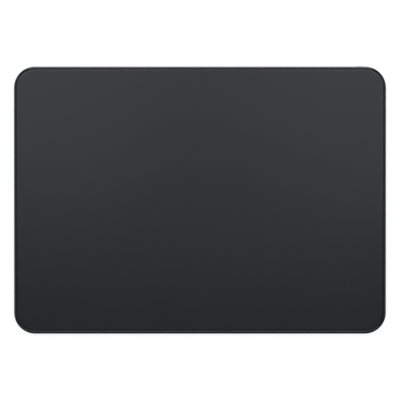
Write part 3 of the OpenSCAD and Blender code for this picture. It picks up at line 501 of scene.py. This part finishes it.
SURFACES = (
    cover_glass(),
    glass_edge(),
    anodised_black(),
    base_grey(),
    rubber(),
    rolled_metal("screw_steel", (0.42, 0.43, 0.45), rough=0.34),
    rolled_metal("spring_steel", (0.58, 0.59, 0.61), rough=0.26),
    rolled_metal("sheet_steel", (0.52, 0.53, 0.55), rough=0.30),
    rolled_metal("button_steel", (0.48, 0.49, 0.51), rough=0.32),
    grained("gel", (0.58, 0.64, 0.68), rough=0.30, grain=0.4 * MM, relief=0.004 * MM, vary=0.05),
    grained("gauge", (0.50, 0.27, 0.09), rough=0.36, grain=0.08 * MM, relief=0.003 * MM),
    cell_foil(),
    circuit_board(),
    ribbon_film(),
    grained("chip", (0.016, 0.016, 0.018), rough=0.58, grain=0.08 * MM, relief=0.004 * MM),
    grained("connector", (0.58, 0.54, 0.46), rough=0.50, grain=0.1 * MM, relief=0.003 * MM, vary=0.06),
    core_iron(),
    copper_coil(),
    grained("black_plastic", (0.016, 0.016, 0.017), rough=0.50, grain=0.07 * MM, relief=0.004 * MM),
    switch_mark(),
    rolled_metal("antenna_metal", (0.62, 0.42, 0.14), rough=0.28),
    grained("bond", (0.010, 0.010, 0.010), rough=0.40, grain=0.3 * MM, relief=0.002 * MM),
    rolled_metal("carrier", (0.50, 0.51, 0.53), rough=0.36),
    gold_plate(),
)
MATERIALS = {surface.name: surface.material for surface in SURFACES}


def dress_frame():
    """Gives each node of the frame the material of its slot."""
    for part in frame["record"]["subparts"]:
        obj = frame["nodes"][part["node"]]
        made = MATERIALS[part["material_slot"]]
        if not obj.material_slots:
            obj.data.materials.append(made)
        for slot in obj.material_slots:
            slot.material = made


# Shapes

def rounded_outline(half_w, half_d, r, steps=CORNER_STEPS):
    """Points round a rectangle with round corners, anticlockwise from the right."""
    points = []
    for quarter, (sx, sy) in enumerate(((1, 1), (-1, 1), (-1, -1), (1, -1))):
        for i in range(steps + 1):
            turn = (quarter + i / steps) * math.pi / 2
            x = sx * (half_w - r) + r * math.cos(turn)
            y = sy * (half_d - r) + r * math.sin(turn)
            points.append((x, y))
    return points


def inset_outline(inset, half_d=HALF_D):
    """The object's outline in plan, drawn in by an inset."""
    return rounded_outline(HALF_W - inset, half_d - inset, CORNER_R - inset)


def stadium_outline(w, h):
    """Points round a long shape with round ends, wider or taller."""
    return rounded_outline(w / 2, h / 2, min(w, h) / 2, EDGE_STEPS)


def circle_outline(r):
    turns = (2 * math.pi * i / ROUND_STEPS for i in range(ROUND_STEPS))
    return [(r * math.cos(a), r * math.sin(a)) for a in turns]


def quarter_round(r, steps=EDGE_STEPS):
    """Inset and drop of points along a rounded edge, from its top to its side."""
    turns = (math.pi / 2 * i / steps for i in range(steps + 1))
    return [(r * (1 - math.sin(a)), r * (1 - math.cos(a))) for a in turns]


def rolled_edge():
    """Inset and drop of points along the upper edge of the glass: an oval roll, then a short bevel."""
    end = math.atan(ROLL_W / ROLL_H * math.tan(BEVEL_ANGLE))
    points = []
    for i in range(ROLL_STEPS + 1):
        a = end * i / ROLL_STEPS
        inset = BEVEL_W + ROLL_W * (math.sin(end) - math.sin(a))
        points.append((inset, ROLL_H * (1 - math.cos(a))))
    roll_drop = points[-1][1]
    points.append((0.0, roll_drop + BEVEL_W * math.tan(BEVEL_ANGLE)))
    return points


def vertex_rings(bm, rings):
    return [[bm.verts.new(p) for p in ring] for ring in rings]


def join_rings(bm, rings):
    """Joins each ring of vertices to the next, which has as many, by faces."""
    for lower, upper in zip(rings, rings[1:]):
        for i in range(len(lower)):
            j = (i + 1) % len(lower)
            bm.faces.new((lower[i], lower[j], upper[j], upper[i]))


def skin(bm, rings, loop=False):
    """A closed form through rings of points: the ends are capped, or the last meets the first."""
    made = vertex_rings(bm, rings)
    if loop:
        join_rings(bm, [*made, made[0]])
    else:
        join_rings(bm, made)
        bm.faces.new(reversed(made[0]))
        bm.faces.new(made[-1])


def upright_ring(y, outline, centre):
    """An outline of x and z round a centre, at a place along Y."""
    return [(centre[0] + x, y, centre[1] + z) for x, z in outline]


def bar_along_y(bm, sections, centre):
    """A bar through sections of (y, width, height), each with round ends."""
    skin(bm, [upright_ring(y, stadium_outline(w, h), centre) for y, w, h in sections])


def round_end(y, w, h, r):
    """Sections of a bar that ends at y in a rounded edge."""
    edge = reversed(quarter_round(r, SMALL_STEPS))
    return [(y - drop, w - 2 * inset, h - 2 * inset) for inset, drop in edge]


def turned(bm, profile, centre):
    """A solid of revolution from (radius, z) points, none of them on the axis."""
    rings = [[(centre[0] + x, centre[1] + y, z) for x, y in circle_outline(r)] for r, z in profile]
    skin(bm, rings)


def add_object(name, data):
    obj = bpy.data.objects.new(name, data)
    bpy.context.scene.collection.objects.link(obj)
    return obj


def mesh_object(name, bm):
    """A new object of a welded mesh whose faces look outwards."""
    bmesh.ops.remove_doubles(bm, verts=bm.verts, dist=WELD)
    bmesh.ops.recalc_face_normals(bm, faces=bm.faces)
    mesh = bpy.data.meshes.new(name)
    bm.to_mesh(mesh)
    bm.free()
    return add_object(name, mesh)


def combine(obj, operation, other):
    """Joins another closed mesh to this one, or cuts with it, and removes the other."""
    modifier = obj.modifiers.new("combine", "BOOLEAN")
    modifier.operation = operation
    modifier.object = other
    modifier.solver = "EXACT"
    bpy.context.view_layer.update()
    graph = bpy.context.evaluated_depsgraph_get()
    mesh = bpy.data.meshes.new_from_object(obj.evaluated_get(graph))
    obj.modifiers.clear()
    obj.data = mesh
    bpy.data.objects.remove(other)


def node_mesh(node):
    """A copy of a frame node's own mesh."""
    bm = bmesh.new()
    bm.from_mesh(frame["nodes"][node].data)
    return bm


def kept_part(node, keep):
    """A copy of a frame node, as far as it lies inside another closed mesh."""
    obj = mesh_object(f"{node}_inside", node_mesh(node))
    combine(obj, "INTERSECT", keep)
    return obj


def finish_piece(obj, slot, body, node, second=None, bend=None):
    """Smooths a piece, gives it its one or two materials, and sets it on its body in a node's place.

    A piece with a bend is only baked where it stands and set on no body; the bend's second body and places are not
    used.
    """
    slots = [slot, second] if second else [slot]
    mesh = obj.data
    parts = [min(face.material_index, len(slots) - 1) for face in mesh.polygons]
    mesh.materials.clear()
    for name in slots:
        mesh.materials.append(MATERIALS[name])
    mesh.polygons.foreach_set("material_index", parts)
    mesh.shade_smooth()
    mesh.set_sharp_from_angle(angle=SHARP_ANGLE)
    weighted = obj.modifiers.new("even_normals", "WEIGHTED_NORMAL")
    weighted.mode = "FACE_AREA"
    weighted.weight = LARGE_FACE_WEIGHT
    weighted.keep_sharp = True
    if bend:
        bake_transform(obj)
    else:
        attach(obj, body)
    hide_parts(node)


# Pieces

def glass_piece():
    """The glass: an upper edge that rolls down to a bevel, a short side and a broken lower edge."""
    edge = rolled_edge()
    roll_start = edge[0][0]
    profile = [
        (roll_start + FLAT_BORDER, 0.0),
        *edge,
        (0.0, GLASS_T - EDGE_BREAK),
        (EDGE_BREAK, GLASS_T),
        (EDGE_BREAK + FLAT_BORDER, GLASS_T),
    ]
    half_d = HALF_D / math.cos(SLOPE)
    bm = bmesh.new()
    skin(bm, [[(*p, -drop) for p in inset_outline(inset, half_d)] for inset, drop in profile])
    bmesh.ops.recalc_face_normals(bm, faces=bm.faces)
    for face in bm.faces:
        if abs(face.normal.z) < math.cos(EDGE_LEAN):
            face.material_index = 1
    tilt = Matrix.Translation((0, 0, MIDDLE_H)) @ Matrix.Rotation(SLOPE, 4, "X")
    bmesh.ops.transform(bm, matrix=tilt, verts=bm.verts)
    obj = mesh_object("touch_glass", bm)
    finish_piece(obj, "cover_glass", "touch_module", "cover_glass", second="glass_edge")


def frame_ring():
    """The outer skin all round, from the seam over the rounded foot up to the sloping rim."""
    def flat(z):
        return lambda y: z

    def rim(drop):
        return lambda y: plane_z(y, RIM_DEPTH) - drop

    ledge_end = BASE_INSET + LEDGE_W - OVERLAP
    section = [
        (ledge_end, flat(BASE_TOP)),
        (BASE_INSET, flat(BASE_TOP)),
        (BASE_INSET, flat(BASE_Z + FINE_BREAK)),
        (BASE_INSET - FINE_BREAK, flat(BASE_Z)),
        *((inset, flat(BASE_Z + rise)) for inset, rise in quarter_round(FRAME_EDGE_R)),
        (0.0, rim(EDGE_BREAK)),
        (EDGE_BREAK / 4, rim(EDGE_BREAK / 4)),
        (EDGE_BREAK, rim(0.0)),
        (SKIN_T, rim(0.0)),
        (SKIN_T, flat(LEDGE_TOP - OVERLAP)),
        (ledge_end, flat(LEDGE_TOP - OVERLAP)),
    ]
    rings = [[(x, y, level(y)) for x, y in inset_outline(inset)] for inset, level in section]
    bm = bmesh.new()
    skin(bm, rings, loop=True)
    return mesh_object("frame_shell", bm)


def mouth_cutter(bm, w, h, x):
    """A hole through the back wall whose outer edge is broken."""
    bar_along_y(bm, [
        (INNER_Y - WALL_T / 2, w, h),
        (HALF_D - MOUTH_BREAK, w, h),
        (HALF_D - MOUTH_BREAK / 3, w + MOUTH_BREAK / 2, h + MOUTH_BREAK / 2),
        (HALF_D + MOUTH_BREAK, w + 3 * MOUTH_BREAK, h + 3 * MOUTH_BREAK),
    ], (x, PORT_Z))


def frame_inside():
    """The inner wall with its ledge, gussets, bosses, seats, tabs and posts."""
    outline = inset_outline(SKIN_T / 2)
    lower = [(x, y, BASE_TOP + OVERLAP / 2) for x, y in outline]
    upper = [(x, y, plane_z(y, RIM_DEPTH + OVERLAP / 2)) for x, y in outline]
    bm = bmesh.new()
    skin(bm, [lower, upper])
    keep = mesh_object("frame_keep", bm)
    bm = bmesh.new()
    for w, h, x in MOUTHS:
        ends = (INNER_Y - 2 * OVERLAP, HALF_D + OVERLAP)
        bar_along_y(bm, [(y, w + OVERLAP, h + OVERLAP) for y in ends], (x, PORT_Z))
    combine(keep, "DIFFERENCE", mesh_object("wide_mouths", bm))
    return kept_part("housing", keep)


def frame_piece():
    """The frame: a fine outer skin with two mouths in its back, on the frame's own inside."""
    obj = frame_ring()
    bm = bmesh.new()
    for mouth in MOUTHS:
        mouth_cutter(bm, *mouth)
    combine(obj, "DIFFERENCE", mesh_object("mouths", bm))
    combine(obj, "UNION", frame_inside())
    finish_piece(obj, "anodised_black", "frame", "housing")


def foot_recess(bm, centre):
    """The recess of a foot in the base plate, and the hole for the screw over it."""
    recess_r = FOOT_R + BASE_SEAM
    hole_r = SCREW_R + SCREW_GAP
    turned(bm, [
        (recess_r + 3 * FINE_BREAK, BASE_Z - 2 * FINE_BREAK),
        (recess_r, BASE_Z + FINE_BREAK),
        (recess_r, FOOT_TOP),
        (SCREW_HEAD_R + SCREW_GAP, FOOT_TOP),
        (hole_r, FOOT_TOP + SCREW_HEAD_H),
        (hole_r, LEDGE_TOP),
    ], centre)


def base_piece():
    """The base plate, with a broken lower edge, under its own ribs and posts."""
    inset = BASE_INSET + BASE_SEAM
    profile = [
        (inset + FINE_BREAK, BASE_Z),
        (inset, BASE_Z + FINE_BREAK),
        (inset, BASE_TOP - OVERLAP / 2),
    ]
    bm = bmesh.new()
    skin(bm, [[(*p, z) for p in inset_outline(cut)] for cut, z in profile])
    obj = mesh_object("bottom_plate", bm)
    bm = bmesh.new()
    for sx, sy in CORNERS.values():
        foot_recess(bm, (sx * FOOT_X, sy * FOOT_Y))
    combine(obj, "DIFFERENCE", mesh_object("recesses", bm))
    bm = bmesh.new()
    heights = (BASE_TOP - OVERLAP, PLATE_TOP + OVERLAP)
    skin(bm, [[(*p, z) for p in inset_outline(inset + OVERLAP)] for z in heights])
    combine(obj, "UNION", kept_part("base_plate", mesh_object("base_keep", bm)))
    finish_piece(obj, "base_grey", "frame", "base_plate")


def foot_piece(corner, sx, sy):
    """A rubber foot with a round lower edge and a shallow moulded ring."""
    profile = [
        (FOOT_CORE_R, FOOT_TOP),
        (FOOT_R - FINE_BREAK, FOOT_TOP),
        (FOOT_R, FOOT_TOP - FINE_BREAK),
        *((FOOT_R - inset, z) for inset, z in reversed(quarter_round(FOOT_EDGE_R))),
        (FOOT_RING_R + FOOT_RING_W, 0.0),
        (FOOT_RING_R, FOOT_RING_D),
        (FOOT_RING_R - FOOT_RING_W, 0.0),
        (FOOT_CORE_R, 0.0),
    ]
    bm = bmesh.new()
    turned(bm, profile, (sx * FOOT_X, sy * FOOT_Y))
    obj = mesh_object(f"rubber_foot_{corner}", bm)
    finish_piece(obj, "rubber", "frame", f"foot_{corner}")


def slider_piece():
    """The slider's cap, its two grip ridges and the stem behind it."""
    cap_front = INNER_Y + CAP_INSET
    cap_back = HALF_D - SLIDER_SETBACK
    centre = (SLIDER_X, PORT_Z)
    cap = [(cap_front, SLIDER_W, SLIDER_H), *round_end(cap_back, SLIDER_W, SLIDER_H, CAP_EDGE_R)]
    bm = bmesh.new()
    bar_along_y(bm, cap, centre)
    obj = mesh_object("switch_slider", bm)
    ridge = [
        (cap_back - 2 * CAP_EDGE_R, RIDGE_W, RIDGE_H),
        *round_end(slider_high.y, RIDGE_W, RIDGE_H, RIDGE_EDGE_R),
    ]
    bm = bmesh.new()
    for side in (-1, 1):
        bar_along_y(bm, ridge, (SLIDER_X + side * RIDGE_PITCH / 2, PORT_Z))
    stem = rounded_outline(STEM_W / 2, STEM_H / 2, FINE_BREAK, TINY_STEPS)
    stem_ends = (slider_low.y, cap_front + FINE_BREAK)
    skin(bm, [upright_ring(y, stem, centre) for y in stem_ends])
    combine(obj, "UNION", mesh_object("ridges_and_stem", bm))
    finish_piece(obj, "black_plastic", "power_slider", "power_slider")


def port_piece():
    """The receptacle's shell, with a rolled lip at its mouth."""
    lip = PORT_WALL / 2
    bore = 2 * PORT_WALL
    sections = [(shell_low.y, PORT_W - 2 * lip, PORT_H - 2 * lip), (shell_low.y + lip, PORT_W, PORT_H)]
    for i in range(LIP_STEPS + 1):
        a = math.pi * i / LIP_STEPS
        inset = lip * (1 - math.cos(a))
        y = shell_high.y - lip + lip * math.sin(a)
        sections.append((y, PORT_W - 2 * inset, PORT_H - 2 * inset))
    sections.append((shell_low.y + PORT_WALL, PORT_W - bore, PORT_H - bore))
    bm = bmesh.new()
    bar_along_y(bm, sections, (0.0, PORT_Z))
    obj = mesh_object("port_sleeve", bm)
    finish_piece(obj, "sheet_steel", "frame", "port_shell")


def contact_rows(bm, half_t, ends):
    """Contacts let into the upper and lower faces of the tongue, between two places along Y."""
    outline = rounded_outline(CONTACT_HALF_W, CONTACT_HALF_T, CONTACT_HALF_T / 2, CONTACT_STEPS)
    for side in (-1, 1):
        for i in range(CONTACTS):
            centre = ((i - (CONTACTS - 1) / 2) * CONTACT_PITCH, PORT_Z + side * half_t)
            skin(bm, [upright_ring(y, outline, centre) for y in ends])


def tongue_piece():
    """The receptacle's tongue on its root, with a row of contacts above and below."""
    low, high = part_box("port_tongue")
    half_w = high.x
    half_t = TONGUE_T / 2
    root_half_t = (high.z - low.z) / 2
    root_end = low.y + TONGUE_ROOT
    sections = [
        (low.y, half_w, root_half_t),
        (root_end - TONGUE_BREAK, half_w, root_half_t),
        (root_end, half_w, root_half_t - TONGUE_BREAK),
        (root_end, half_w, half_t),
        (high.y - 2 * TONGUE_BREAK, half_w, half_t),
        (high.y, half_w - 2 * TONGUE_BREAK, half_t - TONGUE_BREAK),
    ]
    rings = []
    for y, w, t in sections:
        outline = rounded_outline(w, t, TONGUE_BREAK, TINY_STEPS)
        rings.append(upright_ring(y, outline, (0.0, PORT_Z)))
    bm = bmesh.new()
    skin(bm, rings)
    tongue_faces = len(bm.faces)
    contact_rows(bm, half_t, (root_end, high.y - CONTACT_SETBACK))
    bm.faces.ensure_lookup_table()
    for face in bm.faces[tongue_faces:]:
        face.material_index = 1
    obj = mesh_object("port_contacts", bm)
    finish_piece(obj, "black_plastic", "frame", "port_tongue", second="gold")


def bending_piece(node, slot, start, end, side=0):
    """A copy of a node, or of its left or right half, cut across in steps from the frame to the load buttons and
    baked in place.
    """
    bm = node_mesh(node)
    if side:
        bmesh.ops.delete(bm, geom=[v for v in bm.verts if v.co.x * side < 0], context="VERTS")
    start, end = Vector(start), Vector(end)
    for i in range(BEND_STEPS + 1):
        bmesh.ops.bisect_plane(
            bm, geom=[*bm.verts, *bm.edges, *bm.faces], dist=WELD,
            plane_co=start.lerp(end, i / BEND_STEPS), plane_no=(end - start).normalized())
    obj = mesh_object(f"bent_{node}{SIDE_ENDINGS[side]}", bm)
    finish_piece(obj, slot, "frame", node, bend=("load_buttons", start, end))


def bending_pieces():
    """Leaf springs and gauges are cut in steps over the springs' necks, the folded ribbon over its height."""
    neck_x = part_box("strain_gauges")[1].x
    tip_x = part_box("load_button_rear_right")[1].x
    for corner, (sx, _) in CORNERS.items():
        bending_piece(f"flexure_{corner}", "spring_steel", (sx * neck_x, 0, 0), (sx * tip_x, 0, 0))
    for sx in (-1, 1):
        bending_piece("strain_gauges", "gauge", (sx * neck_x, 0, 0), (sx * tip_x, 0, 0), sx)
    ribbon_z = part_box("touch_ribbon")[0].z
    plug_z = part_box("touch_plug")[0].z
    bending_piece("touch_ribbon", "ribbon", (0, 0, ribbon_z + OVERLAP), (0, 0, plug_z - 3 * OVERLAP))


# Stage, light and camera

def stage_material():
    """White to the eye and to reflections, a plain pale surface to other light, clear from below."""
    made = bpy.data.materials.new("stage_white")
    made.use_nodes = True
    tree = made.node_tree
    tree.nodes.clear()
    link = tree.links.new

    def node(kind):
        return tree.nodes.new(kind)

    def diffuse(level):
        shader = node("ShaderNodeBsdfDiffuse")
        shader.inputs["Color"].default_value = (level, level, level, 1)
        return shader.outputs[0]

    def choice(factor, first, second):
        mix = node("ShaderNodeMixShader")
        link(factor, mix.inputs["Fac"])
        link(first, mix.inputs[1])
        link(second, mix.inputs[2])
        return mix.outputs[0]

    glow = node("ShaderNodeEmission")
    glow.inputs["Strength"].default_value = FLOOR_GLOW
    shown = node("ShaderNodeAddShader")
    link(diffuse(FLOOR_SHADED), shown.inputs[0])
    link(glow.outputs[0], shown.inputs[1])
    path = node("ShaderNodeLightPath")
    seen = path.outputs["Is Camera Ray"]
    for name in ("Is Glossy Ray", "Is Transmission Ray"):
        either = node("ShaderNodeMath")
        either.operation = "MAXIMUM"
        link(seen, either.inputs[0])
        link(path.outputs[name], either.inputs[1])
        seen = either.outputs[0]
    upper = choice(seen, diffuse(FLOOR_PALE), shown.outputs[0])
    lower = node("ShaderNodeBsdfTransparent").outputs[0]
    backfacing = node("ShaderNodeNewGeometry").outputs["Backfacing"]
    link(choice(backfacing, upper, lower), node("ShaderNodeOutputMaterial").inputs["Surface"])
    return made


def stage_piece():
    """A round white table that curves up into a low wall."""
    cove_start = STAGE_R - COVE_R
    profile = [(DISC_R, 0.0), (cove_start, 0.0)]
    for i in range(1, EDGE_STEPS + 1):
        a = math.pi / 2 * i / EDGE_STEPS
        profile.append((cove_start + COVE_R * math.sin(a), COVE_R * (1 - math.cos(a))))
    profile.append((STAGE_R, STAGE_TOP))
    bm = bmesh.new()
    rings = vertex_rings(bm, [[(*p, z) for p in circle_outline(r)] for r, z in reversed(profile)])
    join_rings(bm, rings)
    bm.faces.new(rings[-1])
    mesh = bpy.data.meshes.new("stage")
    bm.to_mesh(mesh)
    bm.free()
    mesh.shade_smooth()
    mesh.materials.append(stage_material())
    add_object("stage", mesh)


def soft_lamp(name, place, size, power, target=(0, 0, 0), gloss=True):
    """A rectangular soft light at a place, turned to a target, that shows in gloss or only fills."""
    light = bpy.data.lights.new(name, "AREA")
    light.shape = "RECTANGLE"
    light.size, light.size_y = size
    light.energy = power
    light.color = LAMP_COLOUR
    lamp = add_object(name, light)
    lamp.location = place
    lamp.rotation_euler = (Vector(target) - Vector(place)).to_track_quat("-Z", "Y").to_euler()
    lamp.visible_camera = False
    lamp.visible_glossy = gloss


def panel(name, x, y, size, power):
    """A soft light that hangs over the glass and looks straight down."""
    soft_lamp(name, (x, y, PANEL_Z), size, power, target=(x, y, 0))


def light_scene():
    """Panels over the glass, a strip at their back edge, far lamps, a fill and a dim room."""
    for side in (-1, 1):
        panel(f"panel_{side}", side * PANEL_X, PANEL_Y, size=(0.15, 0.12), power=0.064)
        soft_lamp(f"side_lamp_{side}", (side * FAR, 0, SIDE_LAMP_Z), size=(0.9, 0.3), power=1.2)
    panel("middle_panel", 0, MIDDLE_PANEL_Y, size=(0.09, 0.14), power=0.008)
    panel("strip", 0, STRIP_Y, size=(0.36, 0.02), power=0.10)
    soft_lamp("back_lamp", (0, FAR, BACK_LAMP_Z), size=(0.9, 0.3), power=5.0)
    soft_lamp("front_lamp", (0, FRONT_LAMP_Y, FRONT_LAMP_Z), size=(0.7, 0.05), power=0.55)
    soft_lamp("fill", (0, 0, FILL_Z), size=(1.0, 1.0), power=5.0, gloss=False)
    world = bpy.data.worlds.new("room")
    world.use_nodes = True
    room = world.node_tree.nodes["Background"]
    room.inputs["Color"].default_value = (*ROOM_COLOUR, 1)
    room.inputs["Strength"].default_value = 1.0
    bpy.context.scene.world = world


def place_camera():
    """A very long lens straight above, so that the view is practically parallel."""
    view_w = 2 * HALF_W * IMAGE_PIXELS / OBJECT_PIXELS
    distance = view_w * LENS_MM / SENSOR_MM
    data = bpy.data.cameras.new("camera")
    data.lens = LENS_MM
    data.sensor_width = SENSOR_MM
    data.clip_start = NEAREST
    data.clip_end = 2 * distance
    camera = add_object("camera", data)
    camera.location = (0, OBJECT_DOWN_PIXELS * view_w / IMAGE_PIXELS, MIDDLE_H + distance)
    bpy.context.scene.camera = camera


bpy.context.scene.view_settings.view_transform = "Standard"
place_camera()
light_scene()
stage_piece()
dress_frame()
glass_piece()
frame_piece()
base_piece()
for corner_name, (sign_x, sign_y) in CORNERS.items():
    foot_piece(corner_name, sign_x, sign_y)
slider_piece()
port_piece()
tongue_piece()
bending_pieces()
